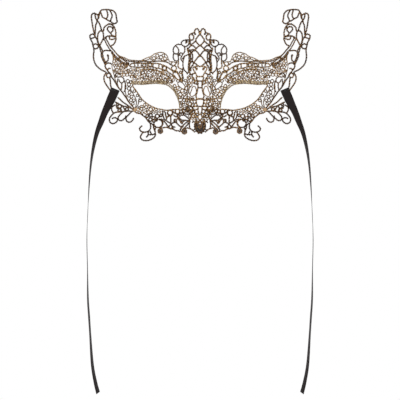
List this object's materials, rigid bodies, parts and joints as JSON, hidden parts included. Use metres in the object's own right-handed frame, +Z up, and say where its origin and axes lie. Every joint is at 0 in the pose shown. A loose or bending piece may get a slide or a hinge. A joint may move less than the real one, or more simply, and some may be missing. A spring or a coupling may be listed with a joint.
{
  "type": "venetian lace masquerade mask",
  "caption": "Flat embroidered lace eye mask with scrolled horns, a pointed crest, open eye holes and hanging satin tie ribbons.",
  "frame": {"origin": "middle of the bridge bar's back face, on the mask's centre line", "axes": "+Z up, front faces -Y, +X to the viewer's right when facing the mask's front"},
  "size_m": [0.2266, 0.0095, 0.3842],
  "materials": {
    "dark_cord": "embroidered cord",
    "gold_cord": "gold thread cord",
    "tan_cord": "tan thread cord",
    "satin_stitch": "satin stitch",
    "black_satin": "satin ribbon",
    "black_thread": "sewing thread"
  },
  "bodies": {
    "centre": {"crest_finial": "dark_cord", "crest_lattice": "gold_cord", "crest_small_scroll_left": "dark_cord", "crest_small_scroll_right": "dark_cord", "nose_ladder": "gold_cord", "nose_frill": "dark_cord", "nose_rosette": "satin_stitch"},
    "left_side": {"horn_cap_left": "dark_cord", "horn_neck_left": "dark_cord", "horn_curl_left": "dark_cord", "arm_loop_left": "dark_cord", "outer_sickle_left": "dark_cord", "wing_trunk_left": "dark_cord", "stem_bundle_left": "dark_cord", "brow_bump_left": "gold_cord", "brow_ladder_left": "gold_cord", "brow_mesh_left": "gold_cord", "temple_panel_left": "gold_cord", "temple_column_left": "dark_cord", "upper_eye_rim_left": "tan_cord", "lower_eye_rim_left": "dark_cord", "inner_mesh_left": "dark_cord", "cheek_mesh_left": "dark_cord", "cheek_curl_left": "dark_cord", "bud_outer_left": "satin_stitch", "bud_inner_left": "satin_stitch", "fan_rays_left": "tan_cord", "tendrils_left": "dark_cord", "crest_shoulder_left": "dark_cord", "feather_left": "gold_cord", "ribbon_end_left": "black_satin", "ribbon_tack_left": "black_thread"},
    "right_side": {"horn_cap_right": "dark_cord", "horn_neck_right": "dark_cord", "horn_curl_right": "dark_cord", "arm_loop_right": "dark_cord", "outer_sickle_right": "dark_cord", "wing_trunk_right": "dark_cord", "stem_bundle_right": "dark_cord", "brow_bump_right": "gold_cord", "brow_ladder_right": "gold_cord", "brow_mesh_right": "gold_cord", "temple_panel_right": "gold_cord", "temple_column_right": "dark_cord", "upper_eye_rim_right": "tan_cord", "lower_eye_rim_right": "dark_cord", "inner_mesh_right": "dark_cord", "cheek_mesh_right": "dark_cord", "cheek_curl_right": "dark_cord", "bud_outer_right": "satin_stitch", "bud_inner_right": "satin_stitch", "fan_rays_right": "tan_cord", "tendrils_right": "dark_cord", "crest_shoulder_right": "dark_cord", "feather_right": "gold_cord", "ribbon_end_right": "black_satin", "ribbon_tack_right": "black_thread"},
    "left_ribbon": {"ribbon_left": "black_satin"},
    "right_ribbon": {"ribbon_right": "black_satin"}
  },
  "joints": [
    {"name": "left_side_fold", "type": "hinge", "parent": "centre", "child": "left_side", "pos_m": [-0.0115, 0, 0], "axis": [0, 0, -1], "range_deg": [0, 25], "stiffness_Nm_per_rad": 0.002},
    {"name": "right_side_fold", "type": "hinge", "parent": "centre", "child": "right_side", "pos_m": [0.0115, 0, 0], "axis": [0, 0, 1], "range_deg": [0, 25], "stiffness_Nm_per_rad": 0.002},
    {"name": "left_ribbon_swing", "type": "hinge", "parent": "left_side", "child": "left_ribbon", "pos_m": [-0.08838, -0.00275, 0.00101], "axis": [0.929, 0, -0.37], "range_deg": [-30, 35]},
    {"name": "right_ribbon_swing", "type": "hinge", "parent": "right_side", "child": "right_ribbon", "pos_m": [0.08838, -0.00275, 0.00101], "axis": [0.929, 0, 0.37], "range_deg": [-30, 35]}
  ]
}
